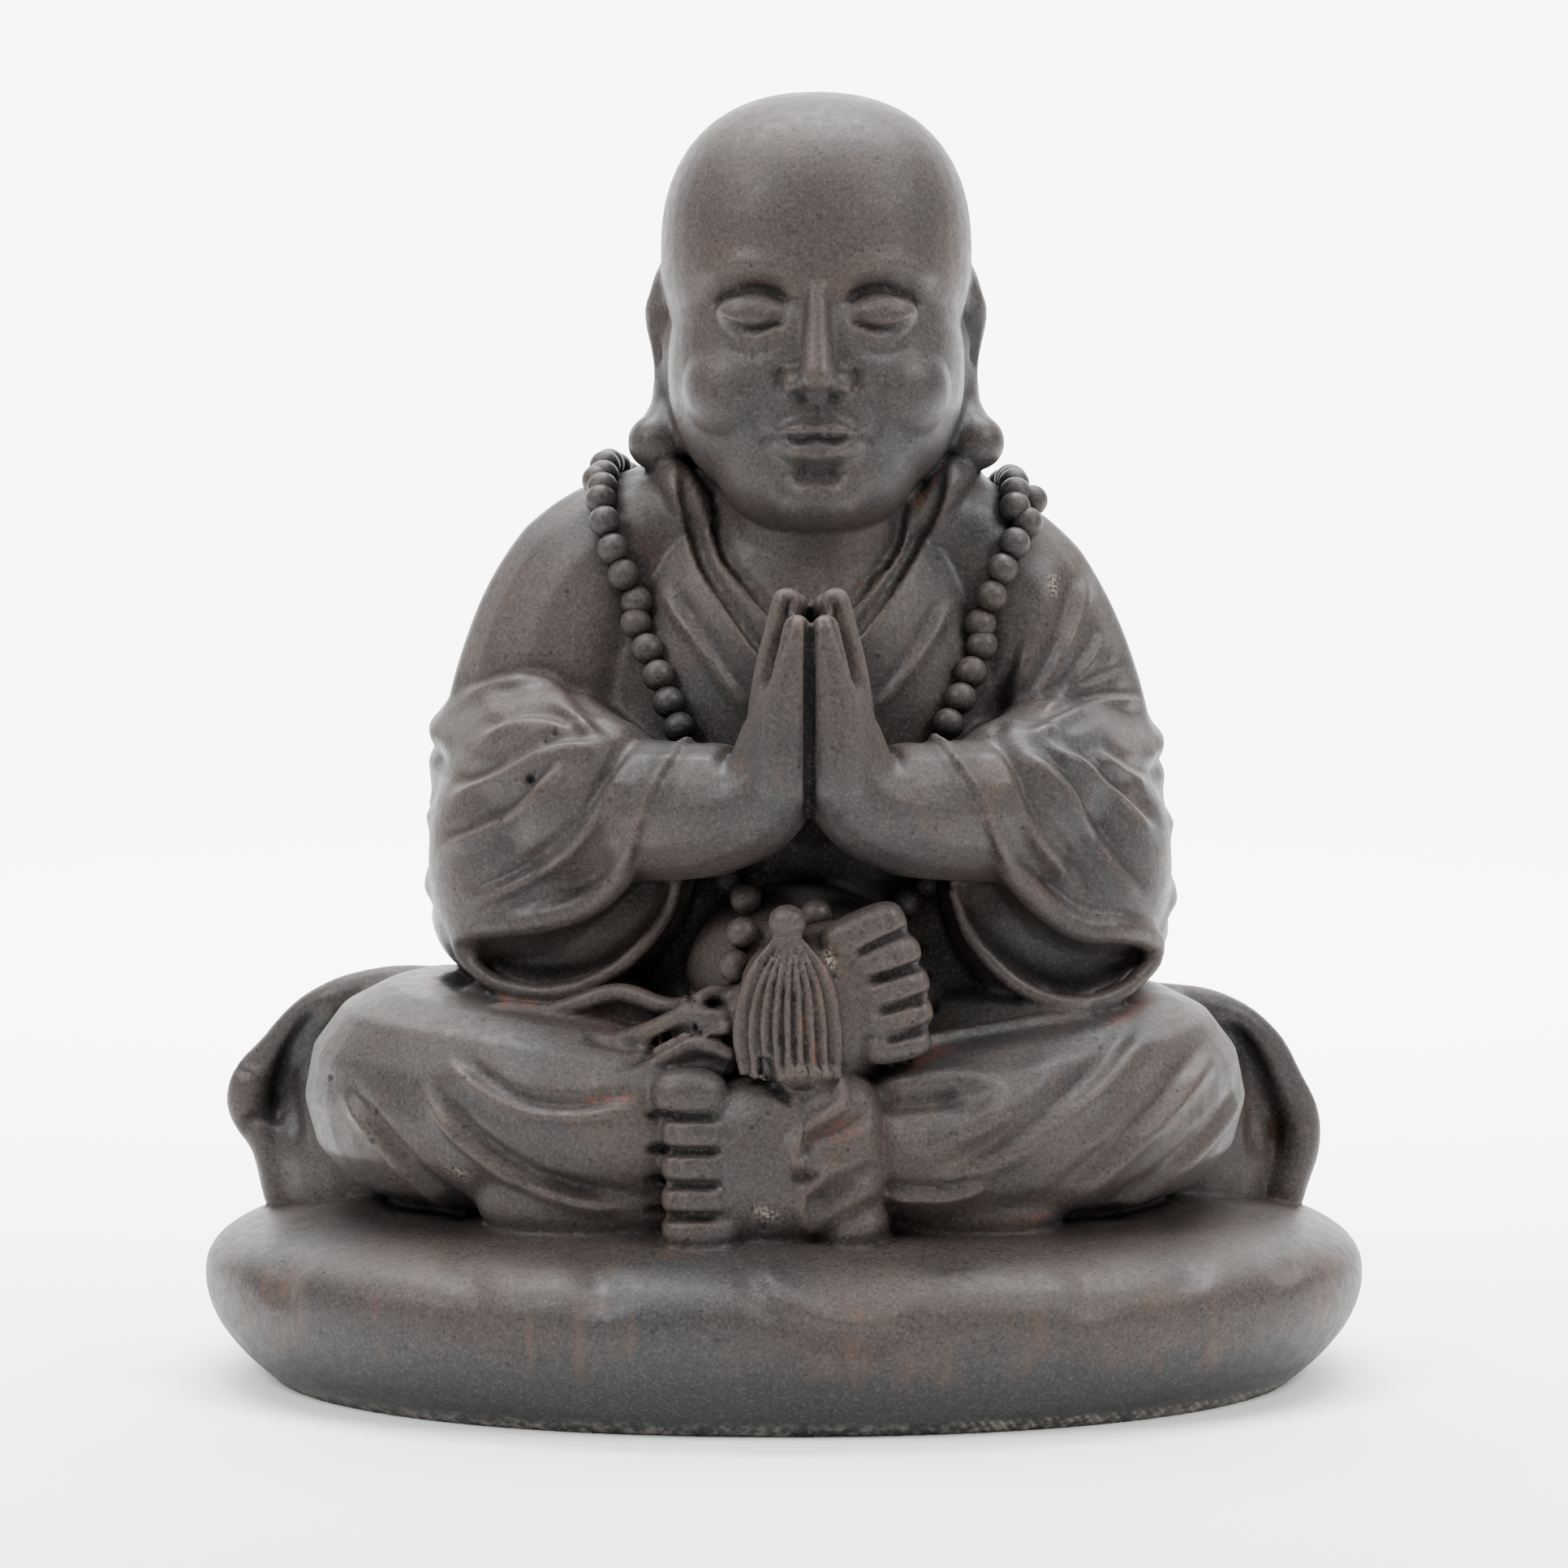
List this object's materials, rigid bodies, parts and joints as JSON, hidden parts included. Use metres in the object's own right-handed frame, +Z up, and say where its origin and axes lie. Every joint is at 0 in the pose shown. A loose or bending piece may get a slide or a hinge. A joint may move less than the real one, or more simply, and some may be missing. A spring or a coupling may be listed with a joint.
{
  "type": "seated praying monk statue",
  "caption": "Cast statue of a seated bald monk in a folded robe, palms pressed together, legs crossed, with a string of beads, on a round cushion.",
  "frame": {"origin": "middle of the underside, on the surface that the statue stands on", "axes": "+Z up, -Y the way the figure faces, +X to the right of someone looking at its face"},
  "size_m": [0.364, 0.2648, 0.3999],
  "materials": {
    "cast_resin": "satin dark grey-brown with rust-brown worn ridges, slate-grey cushion foot and small air pits"
  },
  "bodies": {
    "root": {"statue": "cast_resin"}
  },
  "joints": []
}
